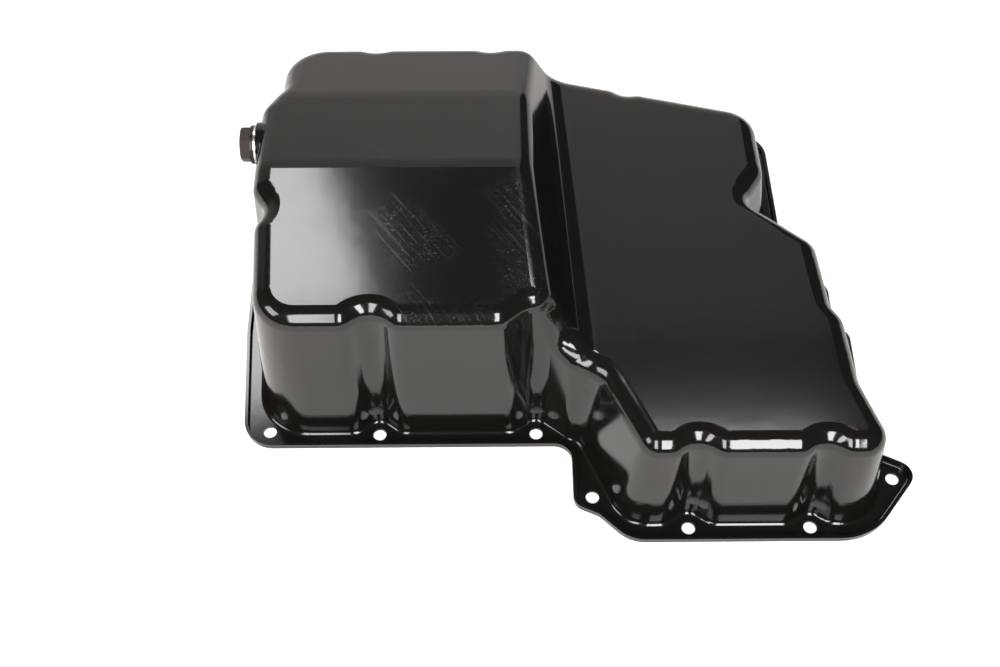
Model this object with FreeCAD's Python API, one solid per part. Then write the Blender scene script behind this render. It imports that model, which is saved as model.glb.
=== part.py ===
"""Engine oil pan, standing on its sealing face with the sump floor uppermost.

One deep-drawn steel pressing with a turned-up rim, a threaded bush welded inside
it, a drain plug and the plug's sealing washer. Sizes are in millimetres. The
origin is the middle of the sealing face, +X runs along the pan to the shallow
end, +Y to the long back edge and +Z from the sealing face to the sump floor.
"""
import FreeCAD
import Part
import math
import os

Vector = FreeCAD.Vector

# Sheet and its bends, outside radii
SHEET = 1.6
FLOOR_BEND = 10.0
FOOT_BEND = 2.5
RIM_BEND = 2.5
CREASE_BEND = 40.0

# Overall plan and heights
LENGTH = 355.0
WIDTH = 303.0
RIM_HEIGHT = 5.5
DEEP_HEIGHT = 96.0
SHALLOW_DROP = 26.3

# Sump floors: level ahead, then two slopes falling to the back
SLOPE_TO_BACK = 130.0
SLOPE_LENGTH = 58.0
FIRST_SLOPE = 9.0
SECOND_SLOPE = 18.0
SHALLOW_SLOPE = 4.5
SHALLOW_Y = -151.5

# Ramp that joins the deep sump to the shallow floor
RAMP_X = -18.6
RAMP_Y = -15.5
RAMP_DRAFT = 28.0
RAMP_LEAN = 5.2
RAMP_TOP_BEND = 12.0
RAMP_FOOT_BEND = 14.0

# Bolts through the rim and the flutes that clear their heads
BOLT_HOLE = 7.0
FLUTE_BLEND = 11.5
FLUTE_FOOT_RADIUS = 8.0
FLUTE_TOP_RADIUS = 12.0
FLUTE_SPARE = 0.2

# Drain plug, its washer and its bush
DRAIN_Y = 51.0
DRAIN_DROP = 19.0
SEAT_INSET = 9.9
PAD_RADIUS = 12.0
PAD_DRAFT = 5.0
PAD_DEPTH = 8.0
THREAD = 14.0
THREAD_CLEARANCE = 0.2
WASHER_THICKNESS = 1.5
WASHER_RADIUS = 10.0
COLLAR_THICKNESS = 1.8
COLLAR_RADIUS = 10.4
HEX_WIDTH = 17.0
HEX_HEIGHT = 5.5
HEX_CHAMFER = 0.9
BUSH_RADIUS = 9.6
BUSH_LENGTH = 9.0
BUSH_CHAMFER = 0.8
PLUG_OVERRUN = 2.0

LEFT = -LENGTH / 2
RIGHT = LENGTH / 2
FRONT = -WIDTH / 2
BACK = WIDTH / 2
STEP_Y = FRONT + 56.0
SEAT_X = LEFT + SEAT_INSET
DRAIN_Z = DEEP_HEIGHT - DRAIN_DROP
SLOPE_START = BACK - SLOPE_TO_BACK
SHALLOW_HEIGHT = DEEP_HEIGHT - SHALLOW_DROP
DEPTH_BELOW = 60.0
BODY_PARTING_X = -70.0
FOOT_PARTING_X = -62.0
SEAM_TOLERANCE = 0.002

# Bolt centres in the rim
BOLTS = {
    "front left corner": (LEFT + 17.2, STEP_Y + 10.2),
    "front first": (-101.6, STEP_Y + 8.2),
    "front second": (-18.3, STEP_Y + 8.2),
    "step": (10.2, FRONT + 26.1),
    "nose first": (58.6, FRONT + 8.1),
    "nose second": (RIGHT - 56.4, FRONT + 8.1),
    "right ear": (RIGHT - 10.0, FRONT + 35.5),
    "right second": (RIGHT - 27.7, -35.0),
    "right third": (RIGHT - 58.5, 36.0),
    "back right corner": (RIGHT - 61.7, BACK - 43.5),
    "back first": (40.7, BACK - 21.5),
    "back second": (-41.0, BACK - 7.0),
    "back third": (-107.0, BACK - 7.0),
    "back left corner": (LEFT + 15.0, BACK - 14.0),
    "left first": (LEFT + 8.0, BACK - 55.5),
    "left second": (LEFT + 7.0, -6.0),
}

# Hollows in the walls: distance from the bolt to the wall's foot, angle of the flanks
# and draft along the hollow's bottom, which is less than the wall's
HOLLOWS = {
    "front first": (8.3, 38.0, 4.8),
    "front second": (8.3, 38.0, 7.6),
    "nose first": (9.0, 34.0, 5.4),
    "nose second": (8.0, 34.0, 5.8),
    "back first": (9.1, 20.0, 7.6),
    "back second": (9.1, 20.0, 6.7),
    "back third": (9.1, 20.0, 6.7),
    "left second": (6.5, 30.0, 3.3),
}

# Outer edge of the rim: x, y and corner radius
RIM = [
    (LEFT + 4.7, STEP_Y, 16),
    (0.2, STEP_Y, 9.5),
    (0.2, FRONT + 20.5, 7),
    (13.0, FRONT + 14.7, 10),
    (28.0, FRONT, 20),
    (RIGHT - 26.2, FRONT, 32),
    (RIGHT + 4.36, FRONT + 38.9, 8),
    (RIGHT - 20.5, FRONT + 51.1, 10),
    (RIGHT - 20.5, -28.0, 8),
    (RIGHT - 28.5, -20.0, 8),
    (RIGHT - 28.5, 4.7, 10),
    (RIGHT - 50.9, 24.9, 10),
    (RIGHT - 53.2, BACK - 36.6, 16),
    (-13.4, BACK, 30),
    (LEFT, BACK, 26),
    (LEFT, -22.0, 60),
]


def wall(x, y, heading, draft):
    """A pan wall: a point on its foot, the way it runs and its lean into the pan."""
    return {"foot": Vector(x, y, 0), "heading": heading, "draft": draft}


FRONT_WALL = wall(-100.0, STEP_Y + 9.2, 0.0, 5.4)
NECK = wall(-9.0, STEP_Y + 8.5, -21.8, 8.0)
DIAGONAL = wall(13.3, FRONT + 38.4, -67.0, 9.0)
NOSE = wall(90.0, FRONT + 10.3, 0.0, 6.8)
RIGHT_CORNER = wall(RIGHT - 18.0, FRONT + 29.5, 107.0, 8.0)
RIGHT_FIRST = wall(RIGHT - 27.1, -98.5, 93.3, 8.0)
RIGHT_JOG = wall(RIGHT - 33.4, -44.3, 120.0, 8.0)
RIGHT_SECOND = wall(RIGHT - 35.4, -35.3, 94.0, 8.0)
RIGHT_SLANT = wall(RIGHT - 51.9, 14.4, 138.0, 8.0)
RIGHT_NOTCH = wall(RIGHT - 67.0, 38.0, 60.0, 8.0)
RIGHT_THIRD = wall(RIGHT - 60.0, 58.0, 91.5, 8.0)
BACK_SLANT = wall(5.7, BACK - 19.0, 165.1, 8.0)
BACK_WALL = wall(-100.0, BACK - 13.5, 180.0, 7.0)
LEFT_BACK = wall(LEFT + 15.0, BACK - 51.5, 270.0, 4.0)
LEFT_JOG = wall(LEFT + 11.0, BACK - 70.5, 242.0, 4.0)
LEFT_MIDDLE = wall(LEFT + 6.8, 38.0, 270.5, 3.3)
LEFT_FRONT = wall(LEFT + 11.7, -44.7, 273.8, 3.3)

# The walls in order round the pan, each with what joins it to the next one: the
# bolt that a hollow clears, or a corner as its radius at the foot and at the top.
RING = [
    (FRONT_WALL, "front first"),
    (FRONT_WALL, "front second"),
    (NECK, (10, 24)),
    (DIAGONAL, (20, 6)),
    (NOSE, "nose first"),
    (NOSE, "nose second"),
    (NOSE, (21, 6)),
    (RIGHT_CORNER, (20, 20)),
    (RIGHT_FIRST, (14, 14)),
    (RIGHT_JOG, (14, 14)),
    (RIGHT_SECOND, (13, 13)),
    (RIGHT_SLANT, (9, 9)),
    (RIGHT_NOTCH, (14, 14)),
    (RIGHT_THIRD, (22, 16)),
    (BACK_SLANT, "back first"),
    (BACK_SLANT, (40, 30)),
    (BACK_WALL, "back second"),
    (BACK_WALL, "back third"),
    (BACK_WALL, (26, 24)),
    (LEFT_BACK, (14, 14)),
    (LEFT_JOG, (14, 14)),
    (LEFT_MIDDLE, "left second"),
    (LEFT_FRONT, (26, 22)),
]


def direction(heading):
    angle = math.radians(heading)
    return Vector(math.cos(angle), math.sin(angle), 0)


def meet(point, along, other, across):
    """Where two straight lines in plan cross."""
    cross = along.x * across.y - along.y * across.x
    gap = other - point
    return point + along * ((gap.x * across.y - gap.y * across.x) / cross)


def turned_radius(before, after, radius, inset):
    """An offset corner keeps its centre, so a bulge tightens and a hollow opens."""
    is_bulge = before.x * after.y - before.y * after.x > 0
    return radius - inset if is_bulge else radius + inset


def inset_corners(corners, inset):
    """The corners of an outline drawn in by the same distance all round."""
    points = [Vector(x, y, 0) for x, y, radius in corners]
    result = []
    for i, (x, y, radius) in enumerate(corners):
        before = (points[i] - points[i - 1]).normalize()
        after = (points[(i + 1) % len(points)] - points[i]).normalize()
        first = points[i] + Vector(-before.y, before.x, 0) * inset
        second = points[i] + Vector(-after.y, after.x, 0) * inset
        corner = meet(first, before, second, after)
        result.append((corner.x, corner.y, turned_radius(before, after, radius, inset)))
    return result


def hollow_corners(this, following, bolt, height, inset):
    """Three corners of the hollow that a wall has opposite a bolt."""
    x, y = BOLTS[bolt]
    clear, flank, draft = HOLLOWS[bolt]
    rise = height / DEEP_HEIGHT
    slope = 1 / math.cos(math.radians(flank))
    lean = height * math.tan(math.radians(draft))
    inward = direction(this["heading"] + 90)
    wall_point, along = wall_line(this, height, 0)
    deep = clear + lean - (wall_point - Vector(x, y, 0)).dot(inward)
    room = deep / (1 - 1 / slope) - FLUTE_BLEND - FLUTE_SPARE
    wanted = FLUTE_FOOT_RADIUS + (FLUTE_TOP_RADIUS - FLUTE_FOOT_RADIUS) * rise
    hollow = min(wanted, room)
    depth = clear + hollow * (slope - 1) + lean + inset * slope
    bottom = Vector(x, y, 0) + inward * depth
    into = direction(this["heading"] + flank)
    out = direction(this["heading"] - flank)
    first = meet(*wall_line(this, height, inset), bottom, into)
    last = meet(*wall_line(following, height, inset), bottom, out)
    return [
        (first.x, first.y, FLUTE_BLEND - inset),
        (bottom.x, bottom.y, hollow + inset),
        (last.x, last.y, FLUTE_BLEND - inset),
    ]


def wall_line(this, height, inset):
    """Point and direction of a wall at one height, drawn in by an inset."""
    lean = height * math.tan(math.radians(this["draft"]))
    inward = direction(this["heading"] + 90)
    return this["foot"] + inward * (lean + inset), direction(this["heading"])


def body_corners(height, inset):
    """Corners of the pan's plan at one height, drawn in by an inset."""
    corners = []
    for i, (this, join) in enumerate(RING):
        following = RING[(i + 1) % len(RING)][0]
        if join in HOLLOWS:
            corners += hollow_corners(this, following, join, height, inset)
            continue
        foot_radius, top_radius = join
        point, along = wall_line(this, height, inset)
        other, across = wall_line(following, height, inset)
        corner = meet(point, along, other, across)
        radius = foot_radius + (top_radius - foot_radius) * height / DEEP_HEIGHT
        corners.append((corner.x, corner.y, turned_radius(along, across, radius, inset)))
    return corners


def rounded_edges(corners, height):
    """Lines and arcs of a closed outline; a corner of no radius stays sharp."""
    points = [Vector(x, y, height) for x, y, radius in corners]
    bends = []
    for i, (x, y, radius) in enumerate(corners):
        back = (points[i - 1] - points[i]).normalize()
        ahead = (points[(i + 1) % len(points)] - points[i]).normalize()
        half = back.getAngle(ahead) / 2
        reach = radius / math.tan(half)
        crown = points[i] + (back + ahead).normalize() * (radius / math.sin(half) - radius)
        bends.append((points[i] + back * reach, crown, points[i] + ahead * reach))
    edges = []
    for i, (start, crown, end) in enumerate(bends):
        if corners[i][2] > 0:
            edges.append(Part.Arc(start, crown, end).toShape())
        edges.append(Part.LineSegment(end, bends[(i + 1) % len(bends)][0]).toShape())
    return edges


def slab(corners, low, high):
    """A flat plate with a rounded outline."""
    face = Part.Face(Part.Wire(rounded_edges(corners, low)))
    return face.extrude(Vector(0, 0, high - low))


def drafted_block(inset):
    """The walls as one solid block that narrows from its foot up."""
    low = Part.Wire(rounded_edges(body_corners(0, inset), 0))
    top = DEEP_HEIGHT + SHEET
    high = Part.Wire(rounded_edges(body_corners(top, inset), top))
    return Part.makeLoft([low, high], True, True)


def side_prism(corners):
    """A block with a profile drawn in Y and Z, running the whole length in X."""
    face = Part.Face(Part.Wire(rounded_edges(corners, 0)))
    block = face.extrude(Vector(0, 0, 2 * LENGTH))
    upright = FreeCAD.Rotation(Vector(1, 1, 1), 120)
    block.Placement = FreeCAD.Placement(Vector(-LENGTH, 0, 0), upright)
    return block


def floor_lines(drop):
    """Level floor and two slopes as lines in Y and Z, each lowered by a drop."""
    start = Vector(SLOPE_START, DEEP_HEIGHT, 0)
    turn = start + direction(-FIRST_SLOPE) * SLOPE_LENGTH
    lines = []
    for point, slope in ((start, 0.0), (start, FIRST_SLOPE), (turn, SECOND_SLOPE)):
        lines.append((point + direction(-slope - 90) * drop, direction(-slope)))
    return lines


def deep_profile(drop):
    level, first, second = floor_lines(drop)
    start = meet(*level, *first)
    turn = meet(*first, *second)
    front = Vector(2 * FRONT, 0, 0)
    back = Vector(BACK, 0, 0)
    upright = Vector(0, 1, 0)
    top_front = meet(*level, front, upright)
    top_back = meet(*second, back, upright)
    bend = CREASE_BEND - drop
    return [
        (front.x, -DEPTH_BELOW, 0),
        (back.x, -DEPTH_BELOW, 0),
        (top_back.x, top_back.y, 0),
        (turn.x, turn.y, bend),
        (start.x, start.y, bend),
        (top_front.x, top_front.y, 0),
    ]


def shallow_profile(drop):
    slope = direction(-SHALLOW_SLOPE)
    point = Vector(SHALLOW_Y, SHALLOW_HEIGHT, 0) + direction(-SHALLOW_SLOPE - 90) * drop
    upright = Vector(0, 1, 0)
    top_front = meet(point, slope, Vector(2 * FRONT, 0, 0), upright)
    top_back = meet(point, slope, Vector(BACK, 0, 0), upright)
    return [
        (2 * FRONT, -DEPTH_BELOW, 0),
        (BACK, -DEPTH_BELOW, 0),
        (top_back.x, top_back.y, 0),
        (top_front.x, top_front.y, 0),
    ]


def ramp_normal():
    """Direction square to the ramp, out of the deep sump."""
    tilt = math.radians(RAMP_DRAFT)
    plain = Vector(math.cos(tilt), 0, math.sin(tilt))
    return FreeCAD.Rotation(Vector(0, 0, 1), RAMP_LEAN).multVec(plain)


def ramp_point(drop):
    return Vector(RAMP_X, RAMP_Y, DEEP_HEIGHT) - ramp_normal() * drop


def half_space(point, normal):
    """A large block whose one face passes through the point, square to the normal."""
    size = 4 * LENGTH
    block = Part.makeBox(size, size, size, Vector(-size / 2, -size / 2, -size))
    block.Placement = FreeCAD.Placement(point, FreeCAD.Rotation(Vector(0, 0, 1), normal))
    return block


def on_plane(vertex_point, point, normal):
    return abs((vertex_point - point).dot(normal)) < 0.01


def middle(edge):
    return edge.valueAt((edge.FirstParameter + edge.LastParameter) / 2)


def floor_block(drop):
    """Everything under the sump floors, with the ramp blended into both of them."""
    point = ramp_point(drop)
    normal = ramp_normal()
    deep = side_prism(deep_profile(drop)).common(half_space(point, normal))
    crest = [
        edge for edge in deep.Edges
        if on_plane(middle(edge), point, normal) and middle(edge).z > 0
        and abs(edge.tangentAt(edge.FirstParameter).y) > 0.5
    ]
    deep = deep.makeFillet(RAMP_TOP_BEND - drop, crest)
    block = deep.fuse(side_prism(shallow_profile(drop)))
    slope = Vector(0, math.sin(math.radians(SHALLOW_SLOPE)), math.cos(math.radians(SHALLOW_SLOPE)))
    shallow_point = Vector(0, SHALLOW_Y, SHALLOW_HEIGHT) - slope * drop
    foot = [
        edge for edge in block.Edges
        if on_plane(middle(edge), point, normal) and on_plane(middle(edge), shallow_point, slope)
        and abs(edge.tangentAt(edge.FirstParameter).y) > 0.5
    ]
    return block.makeFillet(RAMP_FOOT_BEND + drop, foot)


def rise(face):
    """How far a face's outward normal points up: walls near 0, floors near 1."""
    low_u, high_u, low_v, high_v = face.ParameterRange
    return face.normalAt((low_u + high_u) / 2, (low_v + high_v) / 2).z


def floor_edges(shape):
    """Edges where the floors and the ramp meet the walls."""
    floors = [face for face in shape.Faces if rise(face) > 0.3]
    wall_edges = [edge for face in steep_faces(shape) for edge in face.Edges]
    return [
        edge for face in floors for edge in face.Edges
        if any(edge.isSame(other) for other in wall_edges)
    ]


def steep_faces(shape):
    """Faces of the walls, without the cuts that part the two halves."""
    return [
        face for face in shape.Faces
        if abs(rise(face)) < 0.3 and not is_parting(face)
    ]


def is_parting(face):
    partings = (BODY_PARTING_X, FOOT_PARTING_X)
    return any(abs(face.CenterOfMass.x - x) < 0.01 for x in partings)


def level_edges(shape, height):
    """Edges that lie level at one height."""
    found = []
    for edge in shape.Edges:
        points = [vertex.Point for vertex in edge.Vertexes] + [middle(edge)]
        if all(abs(point.z - height) < 0.01 for point in points):
            found.append(edge)
    return found


def foot_edges(shape, height):
    """Edges where the tall walls stand on a level face."""
    walls = [face for face in steep_faces(shape) if face.BoundBox.ZMax > height + RIM_HEIGHT]
    wall_edges = [edge for face in walls for edge in face.Edges]
    return [
        edge for edge in level_edges(shape, height)
        if any(edge.isSame(other) for other in wall_edges)
    ]


def bend_in_halves(solid, radius, parting_x, pick):
    """Round a ring of edges in two halves, parted where both long walls run straight."""
    box = Part.makeBox(LENGTH, 2 * WIDTH, 3 * DEEP_HEIGHT)
    halves = []
    for start in (parting_x - LENGTH, parting_x):
        box.Placement.Base = Vector(start, -WIDTH, -DEEP_HEIGHT)
        half = solid.common(box).Solids[0]
        halves.append(half.makeFillet(radius, pick(half)))
    return halves[0].fuse([halves[1]], SEAM_TOLERANCE).removeSplitter().Solids[0]


def drawn_body(inset):
    """The drawn part of the pan as a solid: walls, sloping floors and their bend."""
    body = drafted_block(inset).common(floor_block(inset)).Solids[0]
    return bend_in_halves(body, FLOOR_BEND - inset, BODY_PARTING_X, floor_edges)


def rim_tray():
    """The rim: a flat flange with its outer edge turned up into a lip."""
    plate = slab(RIM, 0, RIM_HEIGHT)
    plate = plate.makeFillet(RIM_BEND, level_edges(plate, 0))
    pocket = slab(inset_corners(RIM, SHEET), SHEET, 2 * RIM_HEIGHT)
    pocket = pocket.makeFillet(RIM_BEND - SHEET, level_edges(pocket, SHEET))
    return plate.cut(pocket)


def drain_pad(inset):
    """Raised round seat for the drain plug in the left wall."""
    draft = math.radians(PAD_DRAFT)
    radius = PAD_RADIUS - inset * (1 - math.sin(draft)) / math.cos(draft)
    wider = radius + PAD_DEPTH * math.tan(draft)
    seat = Vector(SEAT_X + inset, DRAIN_Y, DRAIN_Z)
    return Part.makeCone(radius, wider, PAD_DEPTH, seat, Vector(1, 0, 0))


def bored(radius, start, length):
    """A round bar along the drain axis, from an X position inward."""
    return Part.makeCylinder(radius, length, Vector(start, DRAIN_Y, DRAIN_Z), Vector(1, 0, 0))


def hollow_form():
    """The space inside the pressing and below it, flared where the walls meet the rim."""
    below = slab(inset_corners(RIM, SHEET), -DEPTH_BELOW, 0)
    space = drawn_body(SHEET).fuse(below).removeSplitter().Solids[0]
    radius = FOOT_BEND + SHEET
    return bend_in_halves(space, radius, FOOT_PARTING_X, lambda half: foot_edges(half, 0))


def pan_sheet():
    """The pressing before its holes: rim and walls of even sheet, bent at the foot."""
    solid = rim_tray().fuse(drawn_body(0))
    solid = bend_in_halves(solid, FOOT_BEND, FOOT_PARTING_X, lambda half: foot_edges(half, SHEET))
    return solid.cut(hollow_form())


def bolt_holes():
    """Drills for every bolt hole in the rim."""
    drills = []
    for x, y in BOLTS.values():
        drills.append(Part.makeCylinder(BOLT_HOLE / 2, 2 * RIM_HEIGHT, Vector(x, y, -RIM_HEIGHT)))
    return Part.makeCompound(drills)


def pan_shell():
    """The whole pressing: one sheet with rim, walls, floors, seat and holes."""
    solid = pan_sheet().fuse(drain_pad(0)).cut(drain_pad(SHEET)).cut(bolt_holes())
    solid = solid.cut(bored(THREAD / 2 + THREAD_CLEARANCE, SEAT_X - SHEET, 3 * SHEET))
    return solid.Solids[0]


def end_circles(solid, x, radius):
    """Round edges of one radius at one X position."""
    return [
        edge for edge in solid.Edges
        if abs(edge.BoundBox.XMin - x) < 0.01 and abs(edge.BoundBox.XMax - x) < 0.01
        and abs(edge.BoundBox.YLength - 2 * radius) < 0.01
    ]


def drain_bush():
    """Threaded bush welded behind the seat, its bore drawn plain."""
    start = SEAT_X + SHEET
    bush = bored(BUSH_RADIUS, start, BUSH_LENGTH).cut(bored(THREAD / 2, start, BUSH_LENGTH))
    inner_end = end_circles(bush, start + BUSH_LENGTH, BUSH_RADIUS)
    return bush.makeChamfer(BUSH_CHAMFER, inner_end).Solids[0]


def sealing_washer():
    """Flat ring between the plug's collar and the seat."""
    start = SEAT_X - WASHER_THICKNESS
    bore = bored(THREAD / 2 + THREAD_CLEARANCE, start, WASHER_THICKNESS)
    return bored(WASHER_RADIUS, start, WASHER_THICKNESS).cut(bore).Solids[0]


def hexagon_head(start):
    """Six flats under a turned chamfer, standing out from an X position."""
    corner = HEX_WIDTH / math.sqrt(3)
    points = []
    for i in range(7):
        angle = math.radians(60 * i)
        points.append(Vector(start, DRAIN_Y + corner * math.cos(angle), DRAIN_Z + corner * math.sin(angle)))
    head = Part.Face(Part.makePolygon(points)).extrude(Vector(-HEX_HEIGHT, 0, 0))
    turned = Part.makeCylinder(corner, HEX_HEIGHT, Vector(start, DRAIN_Y, DRAIN_Z), Vector(-1, 0, 0))
    outer_edge = end_circles(turned, start - HEX_HEIGHT, corner)
    return head.common(turned.makeChamfer(HEX_CHAMFER, outer_edge))


def drain_plug():
    """Hexagon plug with a collar and a shank that runs through the bush."""
    collar_start = SEAT_X - WASHER_THICKNESS - COLLAR_THICKNESS
    reach = COLLAR_THICKNESS + WASHER_THICKNESS + SHEET + BUSH_LENGTH + PLUG_OVERRUN
    radius = THREAD / 2 - THREAD_CLEARANCE
    shank = bored(radius, collar_start, reach)
    shank = shank.makeChamfer(1.0, end_circles(shank, collar_start + reach, radius))
    collar = bored(COLLAR_RADIUS, collar_start, COLLAR_THICKNESS)
    return hexagon_head(collar_start).fuse([collar, shank]).removeSplitter().Solids[0]


if __name__ == "__main__":
    os.makedirs("parts", exist_ok=True)
    pan_shell().exportStep("parts/pan_shell.step")
    drain_bush().exportStep("parts/drain_bush.step")
    sealing_washer().exportStep("parts/sealing_washer.step")
    drain_plug().exportStep("parts/drain_plug.step")
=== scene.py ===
import bpy
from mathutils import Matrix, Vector

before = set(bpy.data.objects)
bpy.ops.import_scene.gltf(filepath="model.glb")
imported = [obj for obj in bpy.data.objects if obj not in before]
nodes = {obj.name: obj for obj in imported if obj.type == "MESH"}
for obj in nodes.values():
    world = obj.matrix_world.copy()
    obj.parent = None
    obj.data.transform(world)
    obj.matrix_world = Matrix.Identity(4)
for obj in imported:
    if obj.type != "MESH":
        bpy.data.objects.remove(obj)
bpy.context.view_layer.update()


# Paint
# Gloss black over drawn steel, a little warm, with a faint ripple. The sump floor stands
# highest and takes the wear: hairline scratches, rubbed specks and slanting scuffs.

PAINT_BLACK = (0.0050, 0.0042, 0.0032, 1)
WORN_GREY = (0.024, 0.023, 0.021, 1)
FRESH_ROUGHNESS = 0.11
WORN_ROUGHNESS = 0.34
WEAR_STARTS_Z = 0.085
WEAR_FULL_Z = 0.095
WEAR_BELOW = 0.12
SCUFF_TURN = 0.95


def noise(tree, vector, scale, detail):
    node = tree.nodes.new("ShaderNodeTexNoise")
    node.inputs["Scale"].default_value = scale
    node.inputs["Detail"].default_value = detail
    tree.links.new(vector, node.inputs["Vector"])
    return node.outputs["Fac"]


def mapped(tree, vector, turn, scale):
    node = tree.nodes.new("ShaderNodeMapping")
    node.inputs["Rotation"].default_value = (0, 0, turn)
    node.inputs["Scale"].default_value = scale
    tree.links.new(vector, node.inputs["Vector"])
    return node.outputs["Vector"]


def ramped(tree, value, start, end, least, most):
    node = tree.nodes.new("ShaderNodeMapRange")
    node.inputs["From Min"].default_value = start
    node.inputs["From Max"].default_value = end
    node.inputs["To Min"].default_value = least
    node.inputs["To Max"].default_value = most
    tree.links.new(value, node.inputs["Value"])
    return node.outputs["Result"]


def joined(tree, operation, first, second):
    node = tree.nodes.new("ShaderNodeMath")
    node.operation = operation
    tree.links.new(first, node.inputs[0])
    tree.links.new(second, node.inputs[1])
    return node.outputs["Value"]


def finish_node(name, material):
    nodes[name].data.materials.clear()
    nodes[name].data.materials.append(material)


paint = bpy.data.materials.new("gloss_black_paint")
paint.use_nodes = True
tree = paint.node_tree
shader = tree.nodes["Principled BSDF"]
shader.inputs["IOR"].default_value = 1.5
surface = tree.nodes.new("ShaderNodeTexCoord").outputs["Object"]

hairlines = noise(tree, mapped(tree, surface, 0.05, (9, 900, 9)), 1, 3)
hairlines = ramped(tree, hairlines, 0.70, 0.80, 0, 1)
patches = ramped(tree, noise(tree, surface, 22, 2), 0.50, 0.66, 0, 1)
specks = ramped(tree, noise(tree, surface, 900, 4), 0.60, 0.70, 0, 1)
specks = joined(tree, "MULTIPLY", specks, patches)
scuffs = mapped(tree, mapped(tree, surface, SCUFF_TURN, (1, 1, 1)), 0, (26, 1400, 26))
scuffs = ramped(tree, noise(tree, scuffs, 1, 3), 0.55, 0.78, 0, 1)
scuffs = joined(tree, "MULTIPLY", scuffs, patches)

height = tree.nodes.new("ShaderNodeSeparateXYZ")
tree.links.new(surface, height.inputs["Vector"])
exposed = ramped(tree, height.outputs["Z"], WEAR_STARTS_Z, WEAR_FULL_Z, WEAR_BELOW, 1)
wear = joined(tree, "MAXIMUM", joined(tree, "MAXIMUM", specks, hairlines), scuffs)
wear = joined(tree, "MULTIPLY", wear, exposed)

tint = tree.nodes.new("ShaderNodeMix")
tint.data_type = "RGBA"
tint.inputs["A"].default_value = PAINT_BLACK
tint.inputs["B"].default_value = WORN_GREY
tree.links.new(wear, tint.inputs["Factor"])
tree.links.new(tint.outputs["Result"], shader.inputs["Base Color"])
roughness = ramped(tree, wear, 0, 1, FRESH_ROUGHNESS, WORN_ROUGHNESS)
tree.links.new(roughness, shader.inputs["Roughness"])

ripple = tree.nodes.new("ShaderNodeBump")
ripple.inputs["Strength"].default_value = 0.05
ripple.inputs["Distance"].default_value = 0.001
tree.links.new(noise(tree, surface, 45, 2), ripple.inputs["Height"])
tree.links.new(ripple.outputs["Normal"], shader.inputs["Normal"])

for name in ("pan_shell", "drain_bush"):
    finish_node(name, paint)


# Drain plug and washer
# The plug is turned steel with a dull passivated skin, screwed into the bush. It presses
# a bright turned ring of soft metal against the seat.

def turned_metal(name, colour, metallic, roughness):
    material = bpy.data.materials.new(name)
    material.use_nodes = True
    shader = material.node_tree.nodes["Principled BSDF"]
    shader.inputs["Base Color"].default_value = colour
    shader.inputs["Metallic"].default_value = metallic
    shader.inputs["Roughness"].default_value = roughness
    return material


finish_node("drain_plug", turned_metal("plug_steel", (0.040, 0.033, 0.029, 1), 0.9, 0.42))
finish_node("sealing_washer", turned_metal("washer_aluminium", (0.80, 0.80, 0.78, 1), 1.0, 0.3))


# Floor and backdrop
# A white sweep, a little warm: level under the pan and curving up behind it. The camera
# sees it at full white. Its wall stops short on the right, where the paint mirrors the
# dark room.

SWEEP_WHITE = (0.86, 0.82, 0.79, 1)
SWEEP_GLOW = 0.35

white = bpy.data.materials.new("white_sweep")
white.use_nodes = True
tree = white.node_tree
tree.nodes.remove(tree.nodes["Principled BSDF"])
diffuse = tree.nodes.new("ShaderNodeBsdfDiffuse")
diffuse.inputs["Color"].default_value = SWEEP_WHITE
glow = tree.nodes.new("ShaderNodeEmission")
glow.inputs["Color"].default_value = (1, 1, 1, 1)
path = tree.nodes.new("ShaderNodeLightPath")
seen = ramped(tree, path.outputs["Is Camera Ray"], 0, 1, 0, SWEEP_GLOW)
both = tree.nodes.new("ShaderNodeAddShader")
tree.links.new(seen, glow.inputs["Strength"])
tree.links.new(diffuse.outputs["BSDF"], both.inputs[0])
tree.links.new(glow.outputs["Emission"], both.inputs[1])
tree.links.new(both.outputs["Shader"], tree.nodes["Material Output"].inputs["Surface"])


def sheet(name, left, right, profile):
    points = [(x, y, z) for x in (left, right) for y, z in profile]
    count = len(profile)
    faces = [(i, i + 1, count + i + 1, count + i) for i in range(count - 1)]
    mesh = bpy.data.meshes.new(name)
    mesh.from_pydata(points, [], faces)
    mesh.materials.append(white)
    screen = bpy.data.objects.new(name, mesh)
    bpy.context.scene.collection.objects.link(screen)


sheet("floor", -3.0, 3.0, [(-3.0, 0.0), (1.2, 0.0)])
sheet("backdrop", -3.0, 0.75, [(1.2, 0.0), (1.55, 0.10), (1.7, 0.35), (1.7, 2.0)])


# Light
# Two softboxes high behind, left and right, one at the left side, and two tall ones in front
# with a dark gap between them. A wide overhead fill, not mirrored in the paint, evens the floor.

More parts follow.
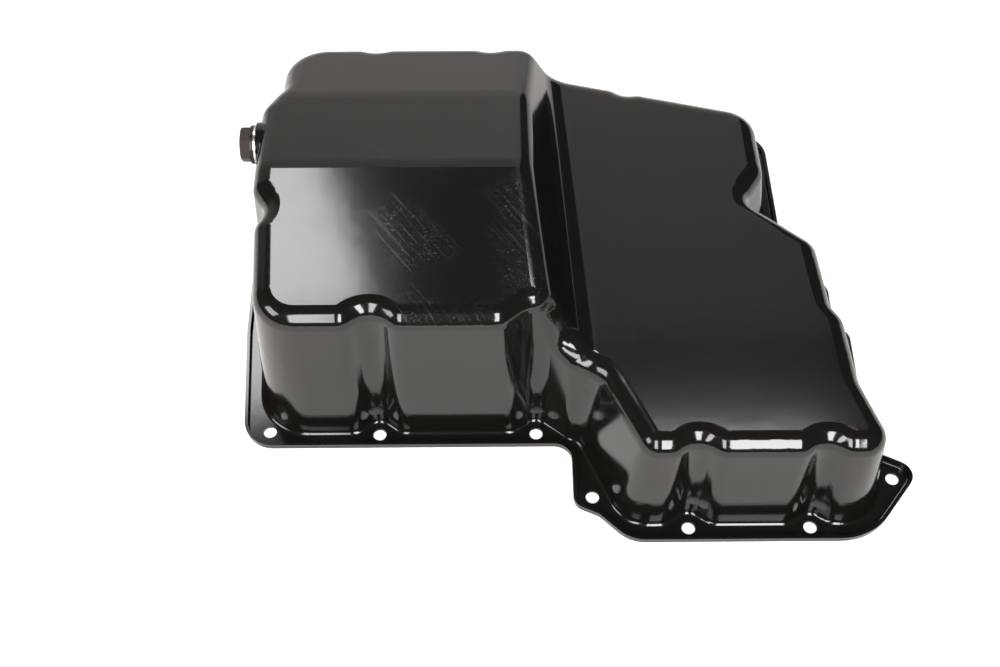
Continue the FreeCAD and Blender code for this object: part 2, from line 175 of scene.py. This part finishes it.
ROOM_LEVEL = 0.06


def softbox(name, place, target, width, depth, power):
    lamp = bpy.data.lights.new(name, "AREA")
    lamp.shape = "RECTANGLE"
    lamp.size = width
    lamp.size_y = depth
    lamp.energy = power
    holder = bpy.data.objects.new(name, lamp)
    holder.location = place
    holder.rotation_euler = (Vector(target) - Vector(place)).to_track_quat("-Z", "Y").to_euler()
    bpy.context.scene.collection.objects.link(holder)
    return holder


softbox("strip_left", (-0.48, 1.10, 1.59), (0, 0, 0.08), 0.35, 0.36, 4.9)
softbox("strip_right", (0.37, 1.10, 1.785), (0.37, 0, 0.08), 0.46, 0.17, 4.2)
softbox("side_left", (-1.25, -0.45, 0.90), (0, -0.1, 0.06), 0.65, 0.60, 12)
softbox("front_left", (-0.44, -1.10, 1.05), (-0.44, 0, 0.08), 0.36, 1.2, 19)
softbox("front_right", (0.31, -1.10, 1.05), (0.31, 0, 0.08), 0.36, 1.2, 28)
fill = softbox("fill", (0.0, 0.0, 2.6), (0, 0, 0), 3.0, 3.0, 4)
fill.visible_glossy = False

room = bpy.data.worlds.new("room")
bpy.context.scene.world = room
room.use_nodes = True
tree = room.node_tree
background = tree.nodes["Background"]
background.inputs["Color"].default_value = (1, 1, 1, 1)
path = tree.nodes.new("ShaderNodeLightPath")
level = ramped(tree, path.outputs["Is Camera Ray"], 0, 1, ROOM_LEVEL, 1)
tree.links.new(level, background.inputs["Strength"])


# Camera
# The photograph's view: from the nose side and from high up, about 0.8 m away, with the
# whole pan in the frame.

CAMERA_PLACE = Vector((-0.0405, -0.4669, 0.6721))
CAMERA_TARGET = Vector((-0.037, -0.022, 0))

lens = bpy.data.cameras.new("camera")
lens.lens = 51.84
lens.sensor_width = 36
camera = bpy.data.objects.new("camera", lens)
camera.location = CAMERA_PLACE
camera.rotation_euler = (CAMERA_TARGET - CAMERA_PLACE).to_track_quat("-Z", "Y").to_euler()
bpy.context.scene.collection.objects.link(camera)
bpy.context.scene.camera = camera
bpy.context.scene.view_settings.view_transform = "Standard"
